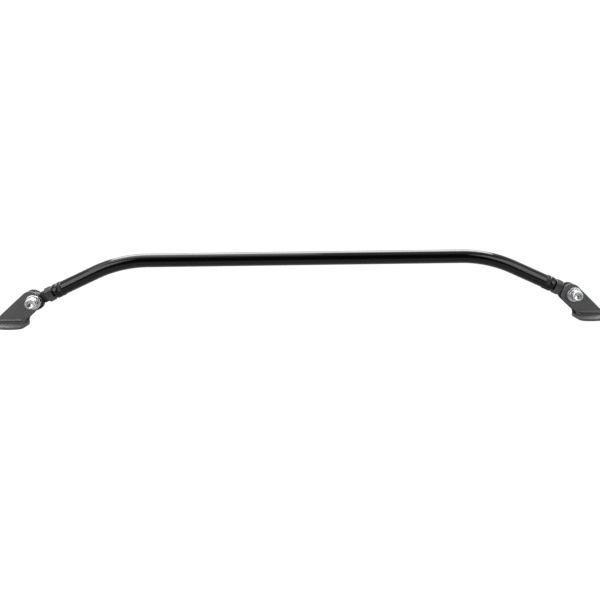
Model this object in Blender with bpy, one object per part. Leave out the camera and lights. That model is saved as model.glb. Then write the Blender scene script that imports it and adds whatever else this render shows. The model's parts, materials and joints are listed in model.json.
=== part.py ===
"""Strut tower brace: a bent round crossbar with a ball-jointed foot bracket at each end. Metres, +Z up, front is -Y."""

import math

import bmesh
import bpy
import numpy as np
from mathutils import Matrix, Vector

# Crossbar
SPAN = 1.000  # between the two bolt axes
RISE = 0.073  # straight's centreline above the bolt axes
BEND_ANGLE = math.radians(24.5)
BEND_RADIUS = 0.235
TUBE_R = 0.0127
TUBE_WALL = 0.0024
TUBE_START = 0.0523  # along the arm from the bolt axis

# End bung and jam nut, all lengths along the arm from the bolt axis
BUNG_START = 0.0411
COLLAR_END = 0.0520
BUNG_END = 0.0850
COLLAR_R = 0.0137
SHANK_R = 0.00794
NUT_START = 0.0248
NUT_END = 0.0386
NUT_FLATS = 0.0238
SHANK_END = 0.0680

# Rod end
EYE_R = 0.0167
EYE_HALF = 0.0060
NECK_R = 0.01075
NECK_END = 0.0246
RACE_R = 0.0134
RACE_HALF = 0.0056
BALL_R = 0.0111
BALL_HALF = 0.00795

# Bracket
GAP = 0.0003
CHEEK = 0.0040
CHEEK_IN = BALL_HALF + GAP
CHEEK_OUT = CHEEK_IN + CHEEK
CHEEKS = {  # outer and inner edge lean in degrees, half width, round top's centre outboard and up
    "left": (41.0, 43.0, 0.0178, 0.0, 0.0022),
    "right": (44.0, 42.5, 0.01755, -0.00095, 0.0025),
}
FOOT_TOP = -0.0380
FOOT_THICK = 0.0050
FOOT_INNER = 0.0070
FOOT_OUTER = 0.0840
FOOT_FRONT = -0.0480
FOOT_REAR = 0.0150
STUD_R = 0.00525
STUD_HOLES = ((0.0570, -0.0260), (0.0740, 0.0010))
LEFT_SHIFT = 0.0057  # bracket outboard of its bolt hole
RIGHT_SHIFT = -0.0048

# Pivot bolt stack
BOLT_R = 0.00630
BOLT_LENGTH = 0.0508
HEAD_R = 0.00953
HEAD_HIGH = 0.0127
SOCKET_FLATS = 0.00953
SOCKET_DEEP = 0.0066
HOLE_R = 0.00660
WASHER_R = 0.0135
WASHER = 0.0024
LOCK_R = 0.0106
LOCK = 0.0030
LOCKNUT_FLATS = 0.01905
LOCKNUT_HEX = 0.0082
LOCKNUT_HIGH = 0.0118

HEAD_SEAT = CHEEK_OUT + GAP + WASHER + GAP + LOCK + GAP
BOLT_TIP = BOLT_LENGTH - HEAD_SEAT

# World placing: underside of the feet at 0, outer limits centred on X and Y
BOLT_Z = FOOT_THICK - FOOT_TOP
SHIFT_X = (LEFT_SHIFT - RIGHT_SHIFT) / 2
SHIFT_Y = -(FOOT_FRONT + BOLT_TIP) / 2

for old in list(bpy.data.objects):
    bpy.data.objects.remove(old, do_unlink=True)


def material(name, colour, metallic, roughness):
    found = bpy.data.materials.new(name)
    found.use_nodes = True
    shader = found.node_tree.nodes["Principled BSDF"]
    shader.inputs["Base Color"].default_value = (*colour, 1)
    shader.inputs["Metallic"].default_value = metallic
    shader.inputs["Roughness"].default_value = roughness
    return found


def add(name, bm, mat, hide=False):
    """A mesh object from a bmesh, with its normals outward."""
    bmesh.ops.recalc_face_normals(bm, faces=bm.faces)
    mesh = bpy.data.meshes.new(name)
    bm.to_mesh(mesh)
    bm.free()
    made = bpy.data.objects.new(name, mesh)
    bpy.context.scene.collection.objects.link(made)
    if mat:
        mesh.materials.append(mat)
    if hide:
        made.hide_render = True
        made.display_type = "WIRE"
    return made


def smooth(made, angle=35):
    for face in made.data.polygons:
        face.use_smooth = True
    made.data.set_sharp_from_angle(angle=math.radians(angle))


def lathe(name, profile, frame, mat, segments=32, hide=False):
    """A closed profile of (along, radius) turned round the frame's local Z. Radius 0 points lie on the axis."""
    bm = bmesh.new()
    rings = []
    for along, radius in profile:
        if radius == 0:
            rings.append([bm.verts.new(frame @ Vector((0, 0, along)))])
            continue
        ring = []
        for i in range(segments):
            turn = 2 * math.pi * (i + 0.5) / segments
            point = Vector((radius * math.cos(turn), radius * math.sin(turn), along))
            ring.append(bm.verts.new(frame @ point))
        rings.append(ring)
    solid = len(rings[0]) == 1
    pairs = list(zip(rings, rings[1:])) + ([] if solid else [(rings[-1], rings[0])])
    for a, b in pairs:
        for i in range(segments):
            j = (i + 1) % segments
            corners = [a[i % len(a)], a[j % len(a)], b[j % len(b)], b[i % len(b)]]
            unique = []
            for corner in corners:
                if corner not in unique:
                    unique.append(corner)
            bm.faces.new(unique)
    made = add(name, bm, mat, hide)
    smooth(made)
    return made


def prism(name, outline, low, high, frame, mat, hide=False):
    """A flat outline of (x, y) pushed from low to high along the frame's local Z."""
    bm = bmesh.new()
    bottom = [bm.verts.new(frame @ Vector((x, y, low))) for x, y in outline]
    top = [bm.verts.new(frame @ Vector((x, y, high))) for x, y in outline]
    bm.faces.new(bottom)
    bm.faces.new(top)
    for i in range(len(outline)):
        j = (i + 1) % len(outline)
        bm.faces.new([bottom[i], bottom[j], top[j], top[i]])
    return add(name, bm, mat, hide)


def boolean(made, operation, cutter):
    """Applies a Boolean now, so that the cutter can go."""
    modifier = made.modifiers.new(operation, "BOOLEAN")
    modifier.operation = operation
    modifier.solver = "EXACT"
    modifier.object = cutter
    graph = bpy.context.evaluated_depsgraph_get()
    mesh = bpy.data.meshes.new_from_object(made.evaluated_get(graph))
    made.modifiers.clear()
    made.data = mesh
    bpy.data.objects.remove(cutter, do_unlink=True)


def hexagon(flats):
    radius = flats / math.sqrt(3)
    return [(radius * math.cos(math.pi * i / 3), radius * math.sin(math.pi * i / 3)) for i in range(6)]


def arc(cx, cy, radius, start, end, steps):
    """Points on an arc, angles in degrees, both ends included."""
    turns = [math.radians(start + (end - start) * i / steps) for i in range(steps + 1)]
    return [(cx + radius * math.cos(t), cy + radius * math.sin(t)) for t in turns]


def bar_path():
    """Centreline points (x, z above the bolt axes) from the left tube end to the right one."""
    tangent = BEND_RADIUS * math.tan(BEND_ANGLE / 2)
    vertex = SPAN / 2 - RISE / math.tan(BEND_ANGLE)
    straight = vertex - tangent
    steps = 8
    right = [(straight / 3, RISE), (straight, RISE)]
    for i in range(1, steps + 1):
        turn = BEND_ANGLE * i / steps
        right.append((straight + BEND_RADIUS * math.sin(turn), RISE - BEND_RADIUS * (1 - math.cos(turn))))
    end = (SPAN / 2 - TUBE_START * math.cos(BEND_ANGLE), TUBE_START * math.sin(BEND_ANGLE))
    right.append(end)
    return [(-x, z) for x, z in reversed(right)] + right


def crossbar(mat):
    """The tube's outer and inner walls swept along the centreline, joined by flat rings at both ends."""
    path = [np.array(point) for point in bar_path()]
    segments = 32
    bm = bmesh.new()
    walls = []
    for radius in (TUBE_R, TUBE_R - TUBE_WALL):
        rings = []
        for i, point in enumerate(path):
            before = path[max(i - 1, 0)]
            after = path[min(i + 1, len(path) - 1)]
            along = (after - before) / np.linalg.norm(after - before)
            if i in (0, len(path) - 1):
                side = 1 if i else -1
                along = np.array((math.cos(BEND_ANGLE), -side * math.sin(BEND_ANGLE)))
            across = np.array((-along[1], along[0]))
            ring = []
            for k in range(segments):
                turn = 2 * math.pi * (k + 0.5) / segments
                x, z = point + across * radius * math.cos(turn)
                ring.append(bm.verts.new((x + SHIFT_X, radius * math.sin(turn) + SHIFT_Y, z + BOLT_Z)))
            rings.append(ring)
        walls.append(rings)
    strips = []
    for rings in walls:
        strips += list(zip(rings, rings[1:]))
    strips += [(walls[0][0], walls[1][0]), (walls[0][-1], walls[1][-1])]
    for a, b in strips:
        for i in range(segments):
            j = (i + 1) % segments
            bm.faces.new([a[i], a[j], b[j], b[i]])
    made = add("crossbar_tube", bm, mat)
    smooth(made)
    return made


def cheek_outline(label):
    """(outboard, up) outline round the hole's nominal centre: round top, leaning strip, flat foot edge."""
    outer, inner, half, aside, rise = CHEEKS[label]
    sine, cosine = math.sin(math.radians(outer)), math.cos(math.radians(outer))
    outer_bottom = (aside + (half + (rise - FOOT_TOP) * cosine) / sine, FOOT_TOP)
    sine, cosine = math.sin(math.radians(inner)), math.cos(math.radians(inner))
    low = -0.0325
    inner_bottom = aside + (-half + (rise - low) * cosine) / sine
    top = arc(aside, rise, half, 90 - outer, 270 - inner, 22)
    return top + [(inner_bottom, low), (inner_bottom + 0.0014, FOOT_TOP), outer_bottom]


def foot_outline():
    """(outboard, depth) outline of the foot plate: rounded nose at the front, cut back towards the outboard end."""
    inner = arc(FOOT_INNER + 0.011, FOOT_FRONT + 0.0120, 0.011, 180, 245, 8)
    bow = arc(FOOT_INNER + 0.019, FOOT_FRONT + 0.0600, 0.0600, 263, 286, 8)
    outer = arc(FOOT_OUTER - 0.012, FOOT_FRONT + 0.0217, 0.012, 286, 360, 8)
    rear = arc(FOOT_OUTER - 0.010, FOOT_REAR - 0.010, 0.010, 0, 90, 6)
    rear += arc(FOOT_INNER + 0.053, FOOT_REAR - 0.027, 0.053, 149.4, 180, 8)
    return inner + bow + outer + rear


def build_side(label, s, shift, mats):
    """One end of the brace. s is -1 on the left and +1 on the right."""
    bolt = Vector((s * SPAN / 2 + SHIFT_X, SHIFT_Y, BOLT_Z))
    arm = Vector((-s * math.cos(BEND_ANGLE), 0, math.sin(BEND_ANGLE)))
    front = Vector((0, -1, 0))
    up = arm.cross(front)
    arm_frame = Matrix.Translation(bolt) @ Matrix((front, up, arm)).transposed().to_4x4()
    # Local Z of the depth frame points to the rear, local X outboard and local Y up
    depth_frame = Matrix.Translation(bolt) @ Matrix(((s, 0, 0), (0, 0, 1), (0, 1, 0))).to_4x4()
    plate_frame = Matrix.Translation(Vector((s * shift, 0, 0))) @ depth_frame
    foot_frame = Matrix.Translation(bolt + Vector((s * shift, 0, 0)))
    foot_frame = foot_frame @ Matrix(((s, 0, 0), (0, 1, 0), (0, 0, 1))).to_4x4()

    # Bung: collar outside the tube, spigot inside it, threaded bore right through
    bore = SHANK_R + 0.00016
    spigot = TUBE_R - TUBE_WALL - GAP
    lathe(label + "_end_bung", [
        (BUNG_START, bore), (BUNG_START, COLLAR_R - 0.0022), (BUNG_START + 0.0007, COLLAR_R - 0.0008),
        (BUNG_START + 0.0022, COLLAR_R), (COLLAR_END - 0.0016, COLLAR_R), (COLLAR_END, COLLAR_R - 0.0012),
        (COLLAR_END, spigot), (BUNG_END - 0.001, spigot), (BUNG_END, spigot - 0.001), (BUNG_END, bore),
    ], arm_frame, mats["bung"])

    # Jam nut: a hexagon round a turned ring, which takes its corners off at both ends
    corner = NUT_FLATS / math.sqrt(3)
    chamfer = corner - NUT_FLATS / 2 + 0.0004
    nut = prism(label + "_jam_nut", hexagon(NUT_FLATS), NUT_START - 0.002, NUT_END + 0.002,
        arm_frame, mats["zinc"])
    boolean(nut, "INTERSECT", lathe("turned", [
        (NUT_START, bore), (NUT_START, corner - chamfer), (NUT_START + chamfer * 0.55, corner + 0.0001),
        (NUT_END - chamfer * 0.55, corner + 0.0001), (NUT_END, corner - chamfer), (NUT_END, bore),
    ], arm_frame, None, 32, True))
    smooth(nut, 20)

    # Rod end body: flat eye, flat-sided neck, round shank
    body = lathe(label + "_rod_end_body", [
        (-EYE_HALF, 0), (-EYE_HALF, EYE_R - 0.0009), (-EYE_HALF + 0.0009, EYE_R),
        (EYE_HALF - 0.0009, EYE_R), (EYE_HALF, EYE_R - 0.0009), (EYE_HALF, 0),
    ], depth_frame, mats["rod_end"], 48)
    neck = lathe("neck", [(0, 0), (0, NECK_R), (NECK_END - 0.0008, NECK_R), (NECK_END, NECK_R - 0.0010),
        (NECK_END, 0)], arm_frame, None, 32, True)
    slab = [(-EYE_HALF - 0.0003, -0.03), (EYE_HALF + 0.0003, -0.03), (EYE_HALF + 0.0003, 0.03),
        (-EYE_HALF - 0.0003, 0.03)]
    boolean(neck, "INTERSECT", prism("slab", slab, -0.01, 0.06, arm_frame, None, True))
    boolean(body, "UNION", neck)
    boolean(body, "UNION", lathe("shank", [
        (0.0232, 0), (0.0232, 0.0058), (NECK_END + 0.0002, SHANK_R), (SHANK_END - 0.0012, SHANK_R),
        (SHANK_END, SHANK_R - 0.0012), (SHANK_END, 0),
    ], arm_frame, None, 32, True))
    boolean(body, "DIFFERENCE", lathe("eye", [
        (-0.02, 0), (-0.02, RACE_R + 0.00015), (0.02, RACE_R + 0.00015), (0.02, 0),
    ], depth_frame, None, 48, True))
    smooth(body, 30)

    # Race: ring with a spherical inside
    seat = BALL_R + 0.00010
    steps = [RACE_HALF * (1 - 2 * i / 8) for i in range(9)]
    lathe(label + "_rod_end_race",
        [(-RACE_HALF, RACE_R), (RACE_HALF, RACE_R)] + [(y, math.sqrt(seat**2 - y**2)) for y in steps],
        depth_frame, mats["race"], 40)

    # Ball: sphere with two flat faces and the bolt's bore
    steps = [-BALL_HALF + 2 * BALL_HALF * i / 12 for i in range(13)]
    inner = BOLT_R + 0.00008
    lathe(label + "_rod_end_ball",
        [(-BALL_HALF, inner)] + [(y, math.sqrt(BALL_R**2 - y**2)) for y in steps] + [(BALL_HALF, inner)],
        depth_frame, mats["ball"], 40)

    # Cheeks
    for name, low in (("_front_plate", -CHEEK_OUT), ("_rear_plate", CHEEK_IN)):
        plate = prism(label + name, cheek_outline(label), low, low + CHEEK, plate_frame, mats["bracket"])
        boolean(plate, "DIFFERENCE", lathe("hole", [
            (low - 0.01, 0), (low - 0.01, HOLE_R), (low + CHEEK + 0.01, HOLE_R), (low + CHEEK + 0.01, 0),
        ], depth_frame, None, 32, True))
        smooth(plate, 30)

    # Foot
    high = FOOT_TOP - GAP
    foot = prism(label + "_foot_plate", foot_outline(), FOOT_TOP - FOOT_THICK, high, foot_frame, mats["bracket"])
    for u, y in STUD_HOLES:
        hole = arc(u, y, STUD_R, 0, 350, 35)
        boolean(foot, "DIFFERENCE", prism("stud", hole, -0.06, -0.02, foot_frame, None, True))
    smooth(foot, 30)

    # Pivot bolt: head at the front, hexagon socket, plain shank to a chamfered tip
    seat = -HEAD_SEAT
    top = seat - HEAD_HIGH
    screw = lathe(label + "_pivot_bolt", [
        (top, 0), (top, HEAD_R - 0.0011), (top + 0.0003, HEAD_R - 0.0005), (top + 0.0011, HEAD_R),
        (seat - 0.0003, HEAD_R), (seat, HEAD_R - 0.0003), (seat, BOLT_R), (BOLT_TIP - 0.0012, BOLT_R),
        (BOLT_TIP, BOLT_R - 0.0012), (BOLT_TIP, 0),
    ], depth_frame, mats["zinc"], 36)
    boolean(screw, "DIFFERENCE",
        prism("socket", hexagon(SOCKET_FLATS), top - 0.002, top + SOCKET_DEEP, depth_frame, None, True))
    smooth(screw, 30)

    # Lock washer: square wire, split, with its two ends sprung a little apart
    bm = bmesh.new()
    rings = []
    count = 30
    centre = -CHEEK_OUT - GAP - WASHER - GAP - LOCK / 2
    for i in range(count + 1):
        turn = math.radians(86 + 348 * i / count)
        lean = (i / count - 0.5) * 0.0005
        ring = []
        for radius, half in ((HOLE_R, -1), (LOCK_R, -1), (LOCK_R, 1), (HOLE_R, 1)):
            along = centre + lean + half * (LOCK / 2 - 0.0003)
            point = Vector((radius * math.cos(turn), radius * math.sin(turn), along))
            ring.append(bm.verts.new(depth_frame @ point))
        rings.append(ring)
    bm.faces.new(rings[0])
    bm.faces.new(rings[-1])
    for a, b in zip(rings, rings[1:]):
        for k in range(4):
            m = (k + 1) % 4
            bm.faces.new([a[k], a[m], b[m], b[k]])
    smooth(add(label + "_lock_washer", bm, mats["zinc"]))

    # Flat washers
    for name, low in (("_front_washer", -CHEEK_OUT - GAP - WASHER), ("_rear_washer", CHEEK_OUT + GAP)):
        high = low + WASHER
        lathe(label + name, [
            (low, HOLE_R), (low, WASHER_R - 0.0004), (low + 0.0004, WASHER_R),
            (high - 0.0004, WASHER_R), (high, WASHER_R - 0.0004), (high, HOLE_R),
        ], depth_frame, mats["zinc"])

    # Locking nut: hexagon below, round crimped collar above, nylon ring inside the collar
    low = CHEEK_OUT + GAP + WASHER + GAP
    hex_top = low + LOCKNUT_HEX
    high = low + LOCKNUT_HIGH
    corner = LOCKNUT_FLATS / math.sqrt(3)
    chamfer = corner - LOCKNUT_FLATS / 2 + 0.0002
    inner = BOLT_R + 0.00015
    nut = prism(label + "_pivot_nut", hexagon(LOCKNUT_FLATS), low - 0.002, high + 0.002,
        depth_frame, mats["zinc"])
    boolean(nut, "INTERSECT", lathe("turned", [
        (low, inner), (low, corner - chamfer), (low + chamfer * 0.55, corner + 0.0001),
        (hex_top - chamfer * 0.55, corner + 0.0001), (hex_top, corner - chamfer), (hex_top, 0.0086),
        (high - 0.0012, 0.0086), (high - 0.0003, 0.0081), (high, 0.0076), (high, 0.0071),
        (high - 0.0008, 0.0071), (high - 0.0008, 0.0076), (hex_top - 0.0006, 0.0076), (hex_top - 0.0006, inner),
    ], depth_frame, None, 32, True))
    smooth(nut, 20)
    ring_low = hex_top - 0.0006 + GAP / 2
    ring_high = high - 0.0008 - GAP / 2
    lathe(label + "_nut_insert", [
        (ring_low, BOLT_R + 0.00012), (ring_low, 0.0075), (ring_high, 0.0075), (ring_high, BOLT_R + 0.00012),
    ], depth_frame, mats["nylon"])


MATS = {
    "paint": material("gloss_black_tube", (0.012, 0.012, 0.013), 0.0, 0.18),
    "bung": material("black_bung", (0.016, 0.016, 0.017), 0.0, 0.3),
    "bracket": material("black_bracket", (0.02, 0.02, 0.021), 0.0, 0.35),
    "rod_end": material("black_rod_end", (0.03, 0.03, 0.032), 0.8, 0.4),
    "race": material("race_steel", (0.42, 0.42, 0.43), 1.0, 0.35),
    "ball": material("ball_chrome", (0.75, 0.75, 0.76), 1.0, 0.1),
    "zinc": material("bright_zinc", (0.72, 0.73, 0.75), 1.0, 0.25),
    "nylon": material("white_nylon", (0.75, 0.75, 0.72), 0.0, 0.5),
}

crossbar(MATS["paint"])
build_side("left", -1, LEFT_SHIFT, MATS)
build_side("right", 1, RIGHT_SHIFT, MATS)
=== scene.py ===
"""Strut tower brace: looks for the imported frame. A bent gloss black tube between two ball-jointed foot brackets."""

import json
import math

import bmesh
import bpy
import numpy as np
from mathutils import Matrix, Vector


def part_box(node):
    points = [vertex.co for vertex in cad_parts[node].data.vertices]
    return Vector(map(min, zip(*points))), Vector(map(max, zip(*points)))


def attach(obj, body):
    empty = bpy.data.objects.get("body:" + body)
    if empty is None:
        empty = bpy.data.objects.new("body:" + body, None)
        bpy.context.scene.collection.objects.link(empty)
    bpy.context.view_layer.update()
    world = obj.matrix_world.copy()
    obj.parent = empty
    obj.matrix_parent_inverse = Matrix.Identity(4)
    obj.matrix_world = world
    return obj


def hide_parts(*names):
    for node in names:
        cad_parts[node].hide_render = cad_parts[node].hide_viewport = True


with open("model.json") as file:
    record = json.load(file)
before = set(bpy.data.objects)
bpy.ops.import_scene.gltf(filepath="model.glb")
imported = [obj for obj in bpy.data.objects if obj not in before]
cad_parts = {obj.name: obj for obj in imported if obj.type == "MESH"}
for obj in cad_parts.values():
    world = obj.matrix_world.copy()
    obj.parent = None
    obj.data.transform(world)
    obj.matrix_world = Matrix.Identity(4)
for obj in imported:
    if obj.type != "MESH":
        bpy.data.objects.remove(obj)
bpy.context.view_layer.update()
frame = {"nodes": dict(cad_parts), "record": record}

# ---------------------------------------------------------------------------
# Camera: a short telephoto in front of the bolt heads, a little above the bar and looking down at it.
# It is tipped by less than a degree.

CAMERA_PLACE = (-0.0248, -1.2783, 0.2973)
CAMERA_PITCH = 0.19912  # downwards
CAMERA_YAW = 0.01581  # to the right
CAMERA_ROLL = -0.01132
CAMERA_LENS = 42.19

forward = np.array((math.sin(CAMERA_YAW) * math.cos(CAMERA_PITCH),
    math.cos(CAMERA_YAW) * math.cos(CAMERA_PITCH), -math.sin(CAMERA_PITCH)))
level = np.array((math.cos(CAMERA_YAW), -math.sin(CAMERA_YAW), 0.0))
upward = np.cross(level, forward)
camera_right = level * math.cos(CAMERA_ROLL) + upward * math.sin(CAMERA_ROLL)
camera_up = -level * math.sin(CAMERA_ROLL) + upward * math.cos(CAMERA_ROLL)
camera = bpy.data.objects.new("camera", bpy.data.cameras.new("camera"))
camera.data.lens = CAMERA_LENS
camera.data.sensor_width = 36.0
camera.data.clip_end = 60.0
turn = np.eye(4)
turn[:3, 0] = camera_right
turn[:3, 1] = camera_up
turn[:3, 2] = -forward
turn[:3, 3] = CAMERA_PLACE
camera.matrix_world = Matrix(turn.tolist())
bpy.context.scene.collection.objects.link(camera)
bpy.context.scene.camera = camera
bpy.context.scene.view_settings.view_transform = "Standard"

# ---------------------------------------------------------------------------
# Studio: a white floor, a bright room with one dark wall behind the camera, a strong soft light overhead and
# behind, a weaker one above, and two broad softboxes in front, which draw the pale streaks down the bar's arms.

FLOOR_SIDE = 40.0
FLOOR_LEVEL = -0.0002  # just under the feet
FLOOR_BOUNCE = 0.23
FLOOR_LEAST = 0.12  # share of the bounce left towards the camera
FLOOR_FAR, FLOOR_NEAR = -0.42, -0.12  # depth over which it fades


def lay_floor():
    """A flat square in the plane of the feet's undersides: white like the backdrop to look at, and a dimmer bounce
    on the object. A foot that swings below it stays in sight."""
    half = FLOOR_SIDE / 2
    mesh = bpy.data.meshes.new("studio_floor")
    corners = [(x * half, y * half, FLOOR_LEVEL) for x, y in ((-1, -1), (1, -1), (1, 1), (-1, 1))]
    mesh.from_pydata(corners, [], [(0, 1, 2, 3)])
    made = bpy.data.objects.new("studio_floor", mesh)
    bpy.context.scene.collection.objects.link(made)
    pale = bpy.data.materials.new("studio_pale")
    pale.use_nodes = True
    nodes, link = pale.node_tree.nodes, pale.node_tree.links.new
    nodes.clear()
    paper = nodes.new("ShaderNodeBsdfTransparent")
    bounce = nodes.new("ShaderNodeBsdfDiffuse")
    place = nodes.new("ShaderNodeTexCoord")
    part = nodes.new("ShaderNodeSeparateXYZ")
    fade = nodes.new("ShaderNodeMapRange")
    fade.inputs["From Min"].default_value = FLOOR_FAR
    fade.inputs["From Max"].default_value = FLOOR_NEAR
    fade.inputs["To Min"].default_value = FLOOR_BOUNCE * FLOOR_LEAST
    fade.inputs["To Max"].default_value = FLOOR_BOUNCE
    link(place.outputs["Object"], part.inputs[0])
    link(part.outputs["Y"], fade.inputs["Value"])
    link(fade.outputs[0], bounce.inputs["Color"])
    path = nodes.new("ShaderNodeLightPath")
    mix = nodes.new("ShaderNodeMixShader")
    out = nodes.new("ShaderNodeOutputMaterial")
    link(path.outputs["Is Camera Ray"], mix.inputs[0])
    link(bounce.outputs[0], mix.inputs[1])
    link(paper.outputs[0], mix.inputs[2])
    link(mix.outputs[0], out.inputs["Surface"])
    mesh.materials.append(pale)


lay_floor()

BACKDROP = 1.05
ROOM_LIGHT = 1.1
ROOM_DARK = 0.015
CEILING_FROM, CEILING_TO = 0.60, 0.90  # height of a direction, where the dark wall gives way to the ceiling
BACK_FROM, BACK_TO = -0.55, 0.05  # depth of a direction, where it gives way to the bright back of the room
world = bpy.data.worlds.new("studio")
bpy.context.scene.world = world
world.use_nodes = True
tree = world.node_tree
tree.nodes.clear()
sky_out = tree.nodes.new("ShaderNodeOutputWorld")
sky_seen = tree.nodes.new("ShaderNodeBackground")
sky_seen.inputs["Color"].default_value = (1, 1, 1, 1)
sky_seen.inputs["Strength"].default_value = BACKDROP
sky_lit = tree.nodes.new("ShaderNodeBackground")
sky_mix = tree.nodes.new("ShaderNodeMixShader")
sky_path = tree.nodes.new("ShaderNodeLightPath")
sky_way = tree.nodes.new("ShaderNodeTexCoord")
sky_part = tree.nodes.new("ShaderNodeSeparateXYZ")
sky_high = tree.nodes.new("ShaderNodeMapRange")
sky_high.inputs["From Min"].default_value = CEILING_FROM
sky_high.inputs["From Max"].default_value = CEILING_TO
sky_back = tree.nodes.new("ShaderNodeMapRange")
sky_back.inputs["From Min"].default_value = BACK_FROM
sky_back.inputs["From Max"].default_value = BACK_TO
sky_most = tree.nodes.new("ShaderNodeMath")
sky_most.operation = "MAXIMUM"
sky_level = tree.nodes.new("ShaderNodeMapRange")
sky_level.inputs["To Min"].default_value = ROOM_DARK
sky_level.inputs["To Max"].default_value = ROOM_LIGHT
join = tree.links.new
join(sky_way.outputs["Generated"], sky_part.inputs[0])
join(sky_part.outputs["Z"], sky_high.inputs["Value"])
join(sky_part.outputs["Y"], sky_back.inputs["Value"])
join(sky_high.outputs[0], sky_most.inputs[0])
join(sky_back.outputs[0], sky_most.inputs[1])
join(sky_most.outputs[0], sky_level.inputs["Value"])
join(sky_level.outputs[0], sky_lit.inputs["Strength"])
join(sky_path.outputs["Is Camera Ray"], sky_mix.inputs[0])
join(sky_lit.outputs[0], sky_mix.inputs[1])
join(sky_seen.outputs[0], sky_mix.inputs[2])
join(sky_mix.outputs[0], sky_out.inputs["Surface"])


def softbox(name, place, target, width, height, power):
    """A rectangular area light at a place, facing a target."""
    lamp = bpy.data.lights.new(name, "AREA")
    lamp.shape = "RECTANGLE"
    lamp.size = width
    lamp.size_y = height
    lamp.energy = power
    made = bpy.data.objects.new(name, lamp)
    away = np.array(place, float) - np.array(target, float)
    away /= np.linalg.norm(away)
    aside = np.cross((0, 0, 1) if abs(away[2]) < 0.99 else (0, 1, 0), away)
    aside /= np.linalg.norm(aside)
    pose = np.eye(4)
    pose[:3, 0] = aside
    pose[:3, 1] = np.cross(away, aside)
    pose[:3, 2] = away
    pose[:3, 3] = place
    made.matrix_world = Matrix(pose.tolist())
    bpy.context.scene.collection.objects.link(made)


softbox("overhead_behind", (0, 1.15, 1.7), (0, 0.85, 0), width=2.8, height=1.65, power=150)
softbox("overhead", (-0.85, -0.25, 1.7), (-0.7, -0.1, 0), width=1.9, height=0.8, power=14)
for name, aside, power in (("left_front", -1.7, 37), ("right_front", 1.7, 32)):
    softbox(name, (aside, -1.5, 0.90), (0, 0, 0.25), width=1.5, height=1.7, power=power)

# ---------------------------------------------------------------------------
# Crossbar: one inch round steel tube, cold bent near each end, powder coated gloss black.
# The coat has a faint orange peel, fine dust and slight changes of gloss. It replaces the faceted CAD tube.

SIDES = {"left": -1, "right": 1}
JOINT = {joint["name"]: joint for joint in frame["record"]["behaviour"]["joints"]}
BOLT = {side: np.array(JOINT[side + "_rod_end_adjust"]["pos_m"], float) for side in SIDES}
INWARD = {side: -np.array(JOINT[side + "_rod_end_adjust"]["axis"], float) for side in SIDES}
TUBE_R = 0.0127
TUBE_BORE_R = 0.0103
BEND_RADIUS = 0.235
BEND_ANGLE = math.atan2(INWARD["right"][2], -INWARD["right"][0])
TUBE_START = 0.0523


def surface(name, grid, close_rows=False, close_cols=True, cap_start=False, cap_end=False, sharp=32):
    """A mesh from a grid of points (rows, columns, xyz): four neighbours make a face, either way may close on itself,
    and the first and last rows may be filled flat."""
    rows, cols = grid.shape[:2]
    index = np.arange(rows * cols).reshape(rows, cols)
    below = index if close_rows else index[:-1]
    above = np.roll(index, -1, 0) if close_rows else index[1:]
    if close_cols:
        faces = np.stack((below, np.roll(below, -1, 1), np.roll(above, -1, 1), above), -1)
    else:
        faces = np.stack((below[:, :-1], below[:, 1:], above[:, 1:], above[:, :-1]), -1)
    faces = faces.reshape(-1, 4).tolist()
    if cap_start:
        faces.append(index[0][::-1].tolist())
    if cap_end:
        faces.append(index[-1].tolist())
    mesh = bpy.data.meshes.new(name)
    mesh.from_pydata(grid.reshape(-1, 3).tolist(), [], faces)
    bm = bmesh.new()
    bm.from_mesh(mesh)
    bmesh.ops.recalc_face_normals(bm, faces=bm.faces)
    bm.to_mesh(mesh)
    bm.free()
    mesh.polygons.foreach_set("use_smooth", np.ones(len(mesh.polygons), bool))
    mesh.set_sharp_from_angle(angle=math.radians(sharp))
    made = bpy.data.objects.new(name, mesh)
    bpy.context.scene.collection.objects.link(made)
    return made


def crossbar_line():
    """Centreline as x, z and slope: straight arm, arc of the bend radius, straight middle, arc, arm."""
    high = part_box("crossbar_tube")[1][2] - TUBE_R
    middle = (BOLT["left"][0] + BOLT["right"][0]) / 2
    rise = high - BOLT["right"][2]
    half_span = (BOLT["right"][0] - BOLT["left"][0]) / 2
    straight = half_span - rise / math.tan(BEND_ANGLE) - BEND_RADIUS * math.tan(BEND_ANGLE / 2)
    turns = np.linspace(0, BEND_ANGLE, 25)
    arc_x = straight + BEND_RADIUS * np.sin(turns)
    arc_z = high - BEND_RADIUS * (1 - np.cos(turns))
    end_x = half_span - TUBE_START * math.cos(BEND_ANGLE)
    end_z = BOLT["right"][2] + TUBE_START * math.sin(BEND_ANGLE)
    arm = np.linspace(0, 1, 9)[1:]
    x = np.concatenate((np.linspace(0, straight, 13)[:-1], arc_x, arc_x[-1] + (end_x - arc_x[-1]) * arm))
    z = np.concatenate((np.full(12, high), arc_z, arc_z[-1] + (end_z - arc_z[-1]) * arm))
    slope = np.concatenate((np.zeros(12), turns, np.full(8, BEND_ANGLE)))
    x = np.concatenate((-x[:0:-1], x)) + middle
    z = np.concatenate((z[:0:-1], z))
    slope = np.concatenate((-slope[:0:-1], slope))
    return x, z, slope


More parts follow.
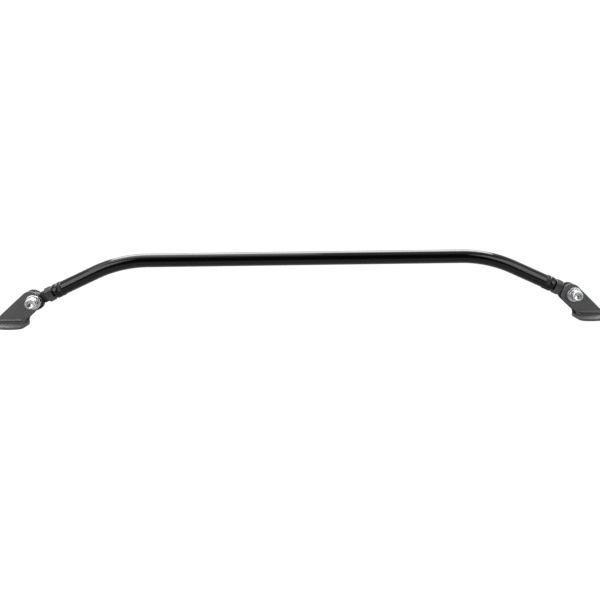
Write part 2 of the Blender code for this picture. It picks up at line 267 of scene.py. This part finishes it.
def crossbar():
    """Rings carried along the centreline: the outside from end to end, then back along the bore, closed on itself."""
    x, z, slope = crossbar_line()
    y = BOLT["left"][1]
    around = np.linspace(0, 2 * math.pi, 96, endpoint=False)
    outer = np.full(len(x), TUBE_R)
    inner = np.full(len(x), TUBE_BORE_R)
    line = np.concatenate((np.arange(len(x)), np.arange(len(x))[::-1]))
    radius = np.concatenate((outer, inner))[:, None]
    across_x = np.sin(slope[line])[:, None]
    across_z = np.cos(slope[line])[:, None]
    grid = np.empty((len(line), len(around), 3))
    grid[..., 0] = x[line][:, None] + across_x * radius * np.cos(around)
    grid[..., 1] = y + radius * np.sin(around)
    grid[..., 2] = z[line][:, None] + across_z * radius * np.cos(around)
    return surface("bent_tube", grid, close_rows=True)


def shader_of(name):
    """A new material, its Principled shader and two shorthands for adding and joining nodes."""
    made = bpy.data.materials.new(name)
    made.use_nodes = True
    nodes = made.node_tree.nodes
    return made, nodes["Principled BSDF"], nodes.new, made.node_tree.links.new


def coating(name, colour, dusty, gloss_low, gloss_high, ior, peel, grain):
    """Black coating: a cloudy change of gloss, orange peel in the normal at about the grain size in metres,
    and sparse paler dust."""
    made, shader, node, link = shader_of(name)
    place = node("ShaderNodeTexCoord").outputs["Object"]
    cloud = node("ShaderNodeTexNoise")
    cloud.inputs["Scale"].default_value = 38
    cloud.inputs["Detail"].default_value = 4
    link(place, cloud.inputs["Vector"])
    gloss = node("ShaderNodeMapRange")
    gloss.inputs["From Min"].default_value = 0.3
    gloss.inputs["From Max"].default_value = 0.7
    gloss.inputs["To Min"].default_value = gloss_low
    gloss.inputs["To Max"].default_value = gloss_high
    link(cloud.outputs["Fac"], gloss.inputs["Value"])
    link(gloss.outputs[0], shader.inputs["Roughness"])
    dust = node("ShaderNodeTexNoise")
    dust.inputs["Scale"].default_value = 1400
    dust.inputs["Detail"].default_value = 2
    link(place, dust.inputs["Vector"])
    speck = node("ShaderNodeValToRGB")
    speck.color_ramp.elements[0].position = 0.60
    speck.color_ramp.elements[0].color = (*colour, 1)
    speck.color_ramp.elements[1].position = 0.80
    speck.color_ramp.elements[1].color = (*dusty, 1)
    link(dust.outputs["Fac"], speck.inputs["Fac"])
    link(speck.outputs["Color"], shader.inputs["Base Color"])
    skin = node("ShaderNodeTexNoise")
    skin.inputs["Scale"].default_value = 1 / grain
    skin.inputs["Detail"].default_value = 3
    link(place, skin.inputs["Vector"])
    bump = node("ShaderNodeBump")
    bump.inputs["Strength"].default_value = peel
    bump.inputs["Distance"].default_value = 0.0001
    link(skin.outputs["Fac"], bump.inputs["Height"])
    link(bump.outputs["Normal"], shader.inputs["Normal"])
    shader.inputs["IOR"].default_value = ior
    return made


gloss_black = coating("gloss_black_powder", colour=(0.0012, 0.0012, 0.0013), dusty=(0.006, 0.006, 0.006),
    gloss_low=0.07, gloss_high=0.15, ior=1.38, peel=0.10, grain=0.0016)
tube = crossbar()
tube.data.materials.append(gloss_black)
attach(tube, "crossbar")
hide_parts("crossbar_tube")

# ---------------------------------------------------------------------------
# End bungs: turned steel, threaded for the rod end, pushed into the tube and welded round.
# The collar stands a millimetre proud of the tube, and is coated with it. The bead's ripples are real geometry.

BUNG_START, COLLAR_END, BUNG_END = 0.0411, 0.0520, 0.0850
COLLAR_R = 0.0137
THREAD_R = 0.0081


def basis(axis):
    """Two unit vectors square to an axis: the first is towards the front (-Y), or up where the axis is depth."""
    axis = np.asarray(axis, float)
    first = np.array((0.0, -1.0, 0.0)) if abs(axis[1]) < 0.9 else np.array((0.0, 0.0, 1.0))
    return first, np.cross(axis, first)


def turned(name, along, radius, origin, axis, close=False, cap_start=False, cap_end=False, sharp=32):
    """Points at distance along an axis and radius from it. Both are (rows, 1) or (rows, columns) arrays."""
    cols = radius.shape[1] if radius.shape[1] > 1 else 96
    angle = np.linspace(0, 2 * math.pi, cols, endpoint=False)[None, :]
    first, second = basis(axis)
    along = np.broadcast_to(along, (len(radius), cols))
    radius = np.broadcast_to(radius, (len(radius), cols))
    grid = (np.asarray(origin) + along[..., None] * np.asarray(axis)
        + (radius * np.cos(angle))[..., None] * first + (radius * np.sin(angle))[..., None] * second)
    return surface(name, grid, close, True, cap_start, cap_end, sharp)


def column(values):
    return np.array(values, float)[:, None]


def eased(piece, width, segments=2):
    """Rounds a piece's sharp edges, as deburring and coating do."""
    bevel = piece.modifiers.new("eased_edges", "BEVEL")
    bevel.width = width
    bevel.segments = segments
    bevel.limit_method = "ANGLE"
    bevel.angle_limit = math.radians(32)
    bevel.harden_normals = False
    return piece


def ring_bead(name, origin, axis, radius, thickness, length, ripples, drift):
    """A weld bead round a tube: a half-round section whose height and place ripple with the angle."""
    angle = np.linspace(0, 2 * math.pi, 288, endpoint=False)[None, :]
    section = np.linspace(0, math.pi, 11)[:, None]
    wave = np.abs(np.sin(angle * ripples / 2 + 0.35 * np.sin(3 * angle + drift)))
    swell = 0.72 + 0.28 * wave + 0.06 * np.sin(5 * angle + drift)
    out = radius - 0.0006 + (thickness + 0.0006) * swell * np.sin(section)
    lean = 0.0003 * np.sin(4 * angle + drift)
    along = length * (0.5 - 0.5 * np.cos(section)) + lean * np.sin(section)
    closed_out = np.concatenate((out, np.full_like(out[:1], radius - 0.0012)))
    closed_along = np.concatenate((along, np.broadcast_to(length / 2, along[:1].shape)))
    return turned(name, closed_along, closed_out, np.asarray(origin), axis, close=True, sharp=60)


BEAD_THICK, BEAD_LONG, BEAD_RIPPLES = 0.0010, 0.0085, 34
bead_black = coating("weld_black_powder", colour=(0.004, 0.004, 0.0042), dusty=(0.016, 0.016, 0.016),
    gloss_low=0.22, gloss_high=0.34, ior=1.38, peel=0.16, grain=0.0011)
collar_black = coating("collar_black_powder", colour=(0.0022, 0.0022, 0.0023), dusty=(0.010, 0.010, 0.010),
    gloss_low=0.18, gloss_high=0.28, ior=1.38, peel=0.12, grain=0.0014)
for side in SIDES:
    bung = turned(side + "_bung",
        column((BUNG_START, BUNG_START, BUNG_START + 0.0004, BUNG_START + 0.0012, BUNG_START + 0.0024,
            COLLAR_END - 0.0014, COLLAR_END - 0.0005, COLLAR_END, COLLAR_END, BUNG_END - 0.001, BUNG_END, BUNG_END)),
        column((THREAD_R, COLLAR_R - 0.0024, COLLAR_R - 0.0014, COLLAR_R - 0.0005, COLLAR_R,
            COLLAR_R, COLLAR_R - 0.0005, COLLAR_R - 0.0012, TUBE_BORE_R - 0.0003, TUBE_BORE_R - 0.0003,
            TUBE_BORE_R - 0.0013, THREAD_R)),
        BOLT[side], INWARD[side], close=True)
    bung.data.materials.append(collar_black)
    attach(bung, "crossbar")
    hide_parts(side + "_end_bung")
    bead = ring_bead(side + "_tube_weld", BOLT[side] + INWARD[side] * (COLLAR_END - 0.0006), INWARD[side],
        TUBE_R, BEAD_THICK, BEAD_LONG, BEAD_RIPPLES, SIDES[side])
    bead.data.materials.append(bead_black)
    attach(bead, "crossbar")

# ---------------------------------------------------------------------------
# Jam nuts: full height hexagons with their corners turned off, on the rod end's shank. Black oxide over machined
# steel: the flats show a fine drawn grain.

NUT_START, NUT_END = 0.0248, 0.0386
NUT_FLATS = 0.0238


def hexagon_radius(flats, angle):
    """Distance from the centre to a hexagon's side at each angle: half the flats over the cosine from the nearest."""
    return flats / 2 / np.cos((angle + math.pi / 6) % (math.pi / 3) - math.pi / 6)


def hex_nut(name, flats, start, end, bore, origin, axis, tail=()):
    """The smaller of a hexagon and a cone at every angle, so the chamfer runs in arcs over the flats. The tail adds
    (along, radius) points of a round collar past the hexagon."""
    angle = np.linspace(0, 2 * math.pi, 216, endpoint=False)[None, :]
    corner = flats / math.sqrt(3)
    inner = flats / 2 - 0.0003
    depth = (corner - inner) * 0.5
    along = np.concatenate((np.linspace(start, start + depth, 7), np.linspace(end - depth, end, 7)))[:, None]
    away = np.minimum(along - start, end - along)
    cone = inner + away * 2
    shell = np.minimum(hexagon_radius(flats, angle), cone)
    rows = [np.full_like(shell[:1], bore), shell]
    runs = [column([start]), along]
    for at, radius in tail:
        rows.append(np.full_like(shell[:1], radius))
        runs.append(column([at]))
    last = tail[-1][0] if tail else end
    rows.append(np.full_like(shell[:1], bore))
    runs.append(column([last]))
    return turned(name, np.concatenate(runs), np.concatenate(rows), origin, axis, close=True, sharp=24)


def metal(name, colour, worn, rough_low, rough_high, grain, strength):
    """Plated or oxided metal: cloudy plating thickness in colour and gloss, with a fine cut grain in the normal."""
    made, shader, node, link = shader_of(name)
    shader.inputs["Metallic"].default_value = 1.0
    place = node("ShaderNodeTexCoord").outputs["Object"]
    cloud = node("ShaderNodeTexNoise")
    cloud.inputs["Scale"].default_value = 60
    cloud.inputs["Detail"].default_value = 5
    cloud.inputs["Roughness"].default_value = 0.65
    link(place, cloud.inputs["Vector"])
    tint = node("ShaderNodeValToRGB")
    tint.color_ramp.elements[0].position = 0.35
    tint.color_ramp.elements[0].color = (*colour, 1)
    tint.color_ramp.elements[1].position = 0.75
    tint.color_ramp.elements[1].color = (*worn, 1)
    link(cloud.outputs["Fac"], tint.inputs["Fac"])
    link(tint.outputs["Color"], shader.inputs["Base Color"])
    gloss = node("ShaderNodeMapRange")
    gloss.inputs["From Min"].default_value = 0.3
    gloss.inputs["From Max"].default_value = 0.7
    gloss.inputs["To Min"].default_value = rough_low
    gloss.inputs["To Max"].default_value = rough_high
    link(cloud.outputs["Fac"], gloss.inputs["Value"])
    link(gloss.outputs[0], shader.inputs["Roughness"])
    cut = node("ShaderNodeTexNoise")
    cut.inputs["Scale"].default_value = 1 / grain
    cut.inputs["Detail"].default_value = 4
    link(place, cut.inputs["Vector"])
    bump = node("ShaderNodeBump")
    bump.inputs["Strength"].default_value = strength
    bump.inputs["Distance"].default_value = 0.00005
    link(cut.outputs["Fac"], bump.inputs["Height"])
    link(bump.outputs["Normal"], shader.inputs["Normal"])
    return made


black_oxide = metal("black_oxide_steel", colour=(0.055, 0.055, 0.057), worn=(0.095, 0.095, 0.098),
    rough_low=0.38, rough_high=0.52, grain=0.0005, strength=0.25)
for side in SIDES:
    nut = hex_nut(side + "_jam_hex", NUT_FLATS, NUT_START, NUT_END, THREAD_R, BOLT[side], INWARD[side])
    eased(nut, 0.00015, 1)
    nut.data.materials.append(black_oxide)
    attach(nut, side + "_lock_nut")
    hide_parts(side + "_jam_nut")

# ---------------------------------------------------------------------------
# Rod ends: a forged and machined eye with a flat-sided neck, and a screw-cut shank that runs into the bung.
# The eye is coined flat on both faces, its rim is radiused, and the neck swells out of it.

EYE_R, EYE_HALF, RACE_R = 0.0167, 0.0060, 0.01355
NECK_HALF, NECK_THICK, NECK_END = 0.01075, 0.0063, 0.0246
SHANK_R, SHANK_END = 0.00794, 0.0680
SHANK_PITCH = 0.00141


def eye_ring(side):
    """A ring round the pivot, its rim and faces joined by small arcs."""
    rim = np.linspace(-math.pi / 2, math.pi / 2, 9)
    ease = 0.0016
    along = np.concatenate(([-EYE_HALF], -EYE_HALF + ease + ease * np.sin(rim[:5]),
        EYE_HALF - ease + ease * np.sin(rim[4:]), [EYE_HALF, EYE_HALF - 0.0004, -EYE_HALF + 0.0004]))
    radius = np.concatenate(([RACE_R + 0.0004], EYE_R - ease + ease * np.cos(rim[:5]),
        EYE_R - ease + ease * np.cos(rim[4:]), [RACE_R + 0.0004, RACE_R, RACE_R]))
    return turned(side + "_eye", along[:, None], radius[:, None], BOLT[side], (0, 1, 0), close=True)


def neck(side):
    """Rings along the arm: a rounded oblong swelling from the eye's width to the shoulder, then easing to a disc."""
    far = np.concatenate((np.linspace(0.0142, 0.0238, 15), np.linspace(0.0239, NECK_END, 5)))[:, None]
    swell = np.clip((far - 0.0142) / 0.0040, 0, 1)
    swell = swell * swell * (3 - 2 * swell)
    end = np.clip((far - 0.0238) / 0.0008, 0, 1)
    wide = 0.0082 + (NECK_HALF - 0.0082) * swell - 0.0008 * end**2
    thick = 0.0056 + (NECK_THICK - 0.0056) * swell - 0.0005 * end**2
    angle = np.linspace(0, 2 * math.pi, 96, endpoint=False)[None, :]
    power = 2 / 5
    across = np.sign(np.sin(angle)) * np.abs(np.sin(angle)) ** power * wide
    deep = np.sign(np.cos(angle)) * np.abs(np.cos(angle)) ** power * thick
    first, second = basis(INWARD[side])
    grid = (BOLT[side] + far[..., None] * INWARD[side] + deep[..., None] * first + across[..., None] * second)
    return surface(side + "_neck", grid, cap_start=True, cap_end=True, sharp=50)


def threaded(name, start, end, radius, pitch, origin, axis, plain=0.0, tip=0.0012, lead=0.0):
    """A rod whose radius falls by a rounded saw of the pitch, turning with the angle, with a plain start and a
    chamfered tip. A lead is a cone at the start, as deep as it is long."""
    rows = int((end - start) / pitch * 8)
    along = np.linspace(start, end, rows)[:, None]
    angle = np.linspace(0, 2 * math.pi, 48, endpoint=False)[None, :]
    phase = ((along - start) / pitch - angle / (2 * math.pi)) % 1
    depth = pitch * 0.55 * np.clip(1.15 - 2.3 * np.abs(phase - 0.5), 0, 1)
    depth = depth * np.clip((along - start - plain) / pitch, 0, 1)
    taper = np.clip((along - end + tip) / tip, 0, 1) * tip
    grid_radius = np.minimum(radius - depth, radius - taper)
    grid_radius = np.minimum(grid_radius, radius - np.clip(start + lead - along, 0, lead))
    cols = np.broadcast_to(along, grid_radius.shape)
    first, second = basis(axis)
    grid = (np.asarray(origin) + cols[..., None] * np.asarray(axis)
        + (grid_radius * np.cos(angle))[..., None] * first + (grid_radius * np.sin(angle))[..., None] * second)
    return surface(name, grid, cap_start=True, cap_end=True, sharp=40)


forged_black = metal("black_oxide_forging", colour=(0.034, 0.034, 0.035), worn=(0.056, 0.056, 0.058),
    rough_low=0.48, rough_high=0.62, grain=0.0007, strength=0.3)
screw_black = metal("black_oxide_thread", colour=(0.03, 0.03, 0.032), worn=(0.06, 0.06, 0.063),
    rough_low=0.34, rough_high=0.46, grain=0.0004, strength=0.2)
for side in SIDES:
    for piece in (eye_ring(side), neck(side)):
        piece.data.materials.append(forged_black)
        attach(piece, side + "_rod_end")
        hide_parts(side + "_rod_end_body")
    shank = threaded(side + "_shank", NECK_END - 0.0006, SHANK_END, SHANK_R, SHANK_PITCH, BOLT[side], INWARD[side],
        lead=0.0016)
    shank.data.materials.append(screw_black)
    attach(shank, side + "_rod_end")

# ---------------------------------------------------------------------------
# Races and balls: a ground steel ring staked in the eye, and a hard chromed ball with flat ends and a bolt bore.

RACE_HALF, BALL_R, BALL_HALF, BALL_BORE_R = 0.0056, 0.0111, 0.00795, 0.00638
race_steel = metal("ground_race_steel", colour=(0.36, 0.36, 0.37), worn=(0.52, 0.52, 0.53),
    rough_low=0.24, rough_high=0.38, grain=0.0003, strength=0.15)
ball_chrome = metal("hard_chrome_ball", colour=(0.70, 0.70, 0.71), worn=(0.80, 0.80, 0.81),
    rough_low=0.06, rough_high=0.12, grain=0.0008, strength=0.03)
for side in SIDES:
    depth = np.linspace(RACE_HALF, -RACE_HALF, 25)[:, None]
    seat = np.sqrt((BALL_R + 0.0001) ** 2 - depth**2)
    race = turned(side + "_race",
        np.concatenate((column((-RACE_HALF, -RACE_HALF + 0.0004, RACE_HALF - 0.0004, RACE_HALF)), depth)),
        np.concatenate((column((RACE_R - 0.0006, RACE_R - 0.00015, RACE_R - 0.00015, RACE_R - 0.0006)), seat)),
        BOLT[side], (0, 1, 0), close=True)
    race.data.materials.append(race_steel)
    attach(race, side + "_rod_end")
    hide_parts(side + "_rod_end_race")
    depth = np.linspace(-BALL_HALF, BALL_HALF, 41)[:, None]
    ball = turned(side + "_ball_globe",
        np.concatenate((column((BALL_HALF - 0.0003, -BALL_HALF + 0.0003, -BALL_HALF)), depth, column((BALL_HALF,)))),
        np.concatenate((column((BALL_BORE_R, BALL_BORE_R, BALL_BORE_R + 0.0003)),
            np.sqrt(BALL_R**2 - depth**2), column((BALL_BORE_R + 0.0003,)))),
        BOLT[side], (0, 1, 0), close=True)
    ball.data.materials.append(ball_chrome)
    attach(ball, side + "_ball")
    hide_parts(side + "_rod_end_ball")

# ---------------------------------------------------------------------------
# Brackets: two 4 mm laser-cut cheeks stand on a 5 mm foot, welded along their outer faces, in two runs at the front,
# and coated satin black together. The shapes are the CAD ones with their cut edges eased.

CUT_EDGE = 0.0003
WELD_RIPPLE = 0.0024
FRONT_LEG, REAR_LEG = 0.0052, 0.0024
SECOND_RUN_UP, SECOND_RUN_LEG = 0.0040, 0.0036


def softened(node, name, width):
    """A copy of a CAD node, its points merged and its flat triangles made whole faces, ready for a bevel."""
    source = bpy.data.objects[frame["nodes"][node].name]
    bm = bmesh.new()
    bm.from_mesh(source.data)
    bmesh.ops.remove_doubles(bm, verts=bm.verts, dist=0.000005)
    bmesh.ops.dissolve_limit(bm, angle_limit=math.radians(1.0), verts=bm.verts, edges=bm.edges)
    mesh = bpy.data.meshes.new(name)
    bm.to_mesh(mesh)
    bm.free()
    mesh.polygons.foreach_set("use_smooth", np.ones(len(mesh.polygons), bool))
    mesh.set_sharp_from_angle(angle=math.radians(30))
    made = bpy.data.objects.new(name, mesh)
    bpy.context.scene.collection.objects.link(made)
    return eased(made, width)


def fillet_bead(name, start, finish, out, leg, ripple, drift):
    """A fillet weld along a straight joint: quarter-round rows from the foot (level) up the cheek, rippled along
    the run, tapering to nothing at both ends."""
    start = np.asarray(start, float)
    finish = np.asarray(finish, float)
    length = np.linalg.norm(finish - start)
    run = np.linspace(0, 1, max(int(length / ripple) * 8, 16))[:, None]
    round_ends = np.sqrt(np.clip(1 - np.abs(2 * run - 1) ** 14, 0.02, 1))
    wave = 0.90 + 0.10 * np.abs(np.sin(run * length / ripple * math.pi + drift))
    size = leg * round_ends * wave * (1 + 0.05 * np.sin(run * 17 + drift))
    angle = np.linspace(0, math.pi / 2, 9)[None, :]
    reach = np.concatenate((size * (1 - 0.94 * np.sin(angle) ** 1.25), np.full_like(run, -0.0004)), 1)
    climb = np.concatenate((size * (1 - 0.94 * np.cos(angle) ** 1.25), np.full_like(run, -0.0004)), 1)
    bow = ripple * 0.35 * np.concatenate((np.sin(angle * 2), [[0.0]]), 1)[..., None] * (finish - start) / length
    grid = start + run[..., None] * (finish - start) + bow
    grid = grid + reach[..., None] * np.asarray(out, float) + climb[..., None] * np.array((0, 0, 1.0))
    return surface(name, grid, cap_start=True, cap_end=True, sharp=55)


satin_black = coating("satin_black_powder", colour=(0.062, 0.0625, 0.0625), dusty=(0.105, 0.105, 0.105),
    gloss_low=0.34, gloss_high=0.46, ior=1.42, peel=0.22, grain=0.0009)
for side, s in SIDES.items():
    for node, name in (("_front_plate", "_front_cheek"), ("_rear_plate", "_rear_cheek"), ("_foot_plate", "_foot")):
        plate = softened(side + node, side + name, CUT_EDGE)
        plate.data.materials.append(satin_black)
        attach(plate, side + "_bracket")
        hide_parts(side + node)
    low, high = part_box(side + "_front_plate")
    foot_low, foot_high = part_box(side + "_foot_plate")
    rear_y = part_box(side + "_rear_plate")[1][1]
    inner_x = (foot_low if s > 0 else foot_high)[0] + s * 0.0075
    outer_x = (high if s > 0 else low)[0] - s * 0.0012
    front, back = (0, -1, 0), (0, 1, 0)
    top = foot_high[2]
    second = top + SECOND_RUN_UP
    runs = (
        ("_front_weld", (inner_x, low[1], top), (outer_x, low[1], top), front, FRONT_LEG),
        ("_front_weld_cap", (inner_x + s * 0.0015, low[1], second), (outer_x, low[1], second), front, SECOND_RUN_LEG),
        ("_rear_weld", (inner_x + s * 0.003, rear_y, top), (outer_x, rear_y, top), back, REAR_LEG),
    )
    for name, start, finish, out, leg in runs:
        weld = fillet_bead(side + name, start, finish, out, leg, WELD_RIPPLE, s)
        weld.data.materials.append(satin_black)
        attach(weld, side + "_bracket")

# ---------------------------------------------------------------------------
# Pivot bolts: forged socket head cap screws, straight knurled round the head, with a hexagon socket and a rolled
# thread that stands out past the nut. Bright zinc plate with a brushed, slightly cloudy gloss.

BOLT_R, HEAD_R, HEAD_HIGH, SOCKET_FLATS, SOCKET_DEEP = 0.0063, 0.00953, 0.0127, 0.00953, 0.0066
BOLT_PITCH, BOLT_PLAIN = 0.00195, 0.034
KNURLS, KNURL_DEEP = 72, 0.00016


def cap_screw_head(name, origin, top, seat):
    """Rows from the socket's floor up its hexagon walls, over the face and chamfer, down the knurled side and in
    under the head. The hexagon rows take the hexagon's radius, the side rows a fine ripple round the head."""
    rows = (  # along, radius, share of hexagon, share of knurl
        (top + SOCKET_DEEP + 0.0012, 0.0004, 0, 0), (top + SOCKET_DEEP, SOCKET_FLATS / 2 - 0.0002, 0.0, 0),
        (top + SOCKET_DEEP - 0.0001, SOCKET_FLATS / 2, 1, 0), (top + 0.0007, SOCKET_FLATS / 2, 1, 0),
        (top + 0.0004, SOCKET_FLATS / 2 + 0.0001, 1, 0), (top, SOCKET_FLATS / 2 + 0.0009, 0.75, 0),
        (top, HEAD_R - 0.0021, 0, 0), (top, HEAD_R - 0.0012, 0, 0), (top + 0.0001, HEAD_R - 0.0009, 0, 0),
        (top + 0.0005, HEAD_R - 0.0004, 0, 0), (top + 0.0010, HEAD_R - 0.0001, 0, 0.2),
        (top + 0.0015, HEAD_R, 0, 1), (seat - 0.0016, HEAD_R, 0, 1), (seat - 0.0011, HEAD_R, 0, 0.2),
        (seat - 0.0003, HEAD_R, 0, 0), (seat, HEAD_R - 0.0003, 0, 0), (seat, BOLT_R - 0.0004, 0, 0),
    )
    table = np.array(rows)
    angle = np.linspace(0, 2 * math.pi, 576, endpoint=False)[None, :]
    round_r = table[:, 1:2] * np.ones_like(angle)
    hexed = hexagon_radius(2 * table[:, 1:2], angle + 0.35)
    radius = round_r * (1 - table[:, 2:3]) + hexed * table[:, 2:3]
    radius = radius - table[:, 3:4] * KNURL_DEEP * (0.5 + 0.5 * np.cos(KNURLS * angle)) ** 0.6
    return turned(name, table[:, 0:1], radius, origin, (0, 1, 0), cap_start=True, cap_end=True, sharp=38)


zinc = metal("bright_zinc_plate", colour=(0.52, 0.53, 0.55), worn=(0.64, 0.64, 0.65),
    rough_low=0.26, rough_high=0.36, grain=0.0006, strength=0.03)
zinc_thread = metal("bright_zinc_thread", colour=(0.52, 0.53, 0.55), worn=(0.68, 0.68, 0.69),
    rough_low=0.20, rough_high=0.32, grain=0.0004, strength=0.12)
for side in SIDES:
    low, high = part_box(side + "_pivot_bolt")
    head_top = low[1] - BOLT[side][1]
    head_seat = head_top + HEAD_HIGH
    tip = high[1] - BOLT[side][1]
    head = cap_screw_head(side + "_screw_head", BOLT[side], head_top, head_seat)
    head.data.materials.append(zinc)
    shank = threaded(side + "_screw_thread", head_seat - 0.001, tip, BOLT_R, BOLT_PITCH, BOLT[side], (0, 1, 0),
        plain=BOLT_PLAIN)
    shank.data.materials.append(zinc_thread)
    for piece in (head, shank):
        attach(piece, side + "_bracket")
        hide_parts(side + "_pivot_bolt")

# ---------------------------------------------------------------------------
# Washers: stamped flat rings with one rounded and one sheared edge, and a split spring washer of square wire
# whose two cut ends stand apart. Zinc plated like the screw.

WASHER_R, WASHER_BORE_R = 0.0135, 0.0066
LOCK_R = 0.0106


def flat_washer(name, origin, low, high, rounded_low):
    """A ring: the edge on the outer side of the joint is rolled, the other is square with a small burr radius."""
    roll = np.linspace(0, math.pi / 2, 7)
    soft = 0.0009
    near = low + soft - soft * np.cos(roll)
    near_r = WASHER_R - soft + soft * np.sin(roll)
    along = np.concatenate(([low], near, [high - 0.0002, high, high, high - 0.0003, low + 0.0003]))
    radius = np.concatenate(([WASHER_BORE_R + 0.0003], near_r, [WASHER_R, WASHER_R - 0.0002,
        WASHER_BORE_R + 0.0003, WASHER_BORE_R, WASHER_BORE_R]))
    if not rounded_low:
        along = low + high - along
    return turned(name, along[:, None], radius[:, None], origin, (0, 1, 0), close=True)


def spring_washer(name, origin, low, high):
    """A square section carried most of a turn, with its ends sprung apart along the bolt."""
    sweep = np.linspace(math.radians(97), math.radians(97 + 346), 121)[:, None]
    part = (sweep - sweep[0]) / (sweep[-1] - sweep[0]) - 0.5
    middle = (low + high) / 2
    half = (high - low) / 2 - 0.0003
    ease = 0.0003
    depth = np.array((-half, -half, -half + ease, half - ease, half, half, half - ease, -half + ease))[None, :]
    radius = np.array((WASHER_BORE_R + ease, LOCK_R - ease, LOCK_R, LOCK_R, LOCK_R - ease,
        WASHER_BORE_R + ease, WASHER_BORE_R, WASHER_BORE_R))[None, :]
    along = middle + depth + part * 0.0005
    first, second = basis((0, 1, 0))
    grid = (np.asarray(origin) + along[..., None] * np.array((0, 1.0, 0))
        + (radius * np.cos(sweep))[..., None] * first + (radius * np.sin(sweep))[..., None] * second)
    return surface(name, grid, cap_start=True, cap_end=True, sharp=32)


for side in SIDES:
    y = BOLT[side][1]
    for node, rounded_low in (("_front_washer", True), ("_rear_washer", False)):
        low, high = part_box(side + node)
        washer = flat_washer(side + node + "_ring", BOLT[side], low[1] - y, high[1] - y, rounded_low)
        washer.data.materials.append(zinc)
        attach(washer, side + "_bracket")
        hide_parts(side + node)
    low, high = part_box(side + "_lock_washer")
    spring = spring_washer(side + "_spring_ring", BOLT[side], low[1] - y, high[1] - y)
    spring.data.materials.append(zinc_thread)
    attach(spring, side + "_bracket")
    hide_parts(side + "_lock_washer")

# ---------------------------------------------------------------------------
# Locking nuts at the back: hexagon, crimped round collar, and a nylon ring that grips the thread.

LOCKNUT_FLATS, LOCKNUT_HEX, LOCKNUT_COLLAR_R, INSERT_R = 0.01905, 0.0082, 0.0086, 0.0075


def nylon():
    """Off-white moulded nylon: faint cloudiness, waxy gloss and a fine surface grain."""
    made, shader, node, link = shader_of("moulded_nylon")
    place = node("ShaderNodeTexCoord").outputs["Object"]
    cloud = node("ShaderNodeTexNoise")
    cloud.inputs["Scale"].default_value = 420
    link(place, cloud.inputs["Vector"])
    tint = node("ShaderNodeValToRGB")
    tint.color_ramp.elements[0].color = (0.62, 0.62, 0.58, 1)
    tint.color_ramp.elements[1].color = (0.78, 0.78, 0.74, 1)
    link(cloud.outputs["Fac"], tint.inputs["Fac"])
    link(tint.outputs["Color"], shader.inputs["Base Color"])
    bump = node("ShaderNodeBump")
    bump.inputs["Strength"].default_value = 0.2
    bump.inputs["Distance"].default_value = 0.0001
    link(cloud.outputs["Fac"], bump.inputs["Height"])
    link(bump.outputs["Normal"], shader.inputs["Normal"])
    shader.inputs["Roughness"].default_value = 0.42
    return made


white_nylon = nylon()
for side in SIDES:
    y = BOLT[side][1]
    low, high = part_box(side + "_pivot_nut")
    start, finish = low[1] - y, high[1] - y
    hex_top = start + LOCKNUT_HEX
    nut = hex_nut(side + "_lock_hex", LOCKNUT_FLATS, start, hex_top, BOLT_R + 0.00015, BOLT[side], (0, 1, 0), tail=(
        (hex_top, LOCKNUT_COLLAR_R + 0.0002), (hex_top + 0.0003, LOCKNUT_COLLAR_R),
        (finish - 0.0014, LOCKNUT_COLLAR_R),
        (finish - 0.0006, LOCKNUT_COLLAR_R - 0.0003), (finish - 0.0001, LOCKNUT_COLLAR_R - 0.0009),
        (finish, 0.0076), (finish - 0.0001, 0.0071), (finish - 0.0008, 0.0071), (finish - 0.0008, 0.0076),
        (hex_top - 0.0006, 0.0076)))
    nut.data.materials.append(zinc)
    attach(nut, side + "_bracket")
    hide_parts(side + "_pivot_nut")
    low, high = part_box(side + "_nut_insert")
    start, finish = low[1] - y, high[1] - y
    insert = turned(side + "_nylon_ring",
        column((start, start, finish - 0.0004, finish - 0.0001, finish, finish - 0.0001, finish - 0.0006)),
        column((BOLT_R + 0.00012, INSERT_R, INSERT_R, INSERT_R - 0.0003, INSERT_R - 0.0006, BOLT_R + 0.0004,
            BOLT_R + 0.00012)), BOLT[side], (0, 1, 0), close=True)
    insert.data.materials.append(white_nylon)
    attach(insert, side + "_bracket")
    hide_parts(side + "_nut_insert")
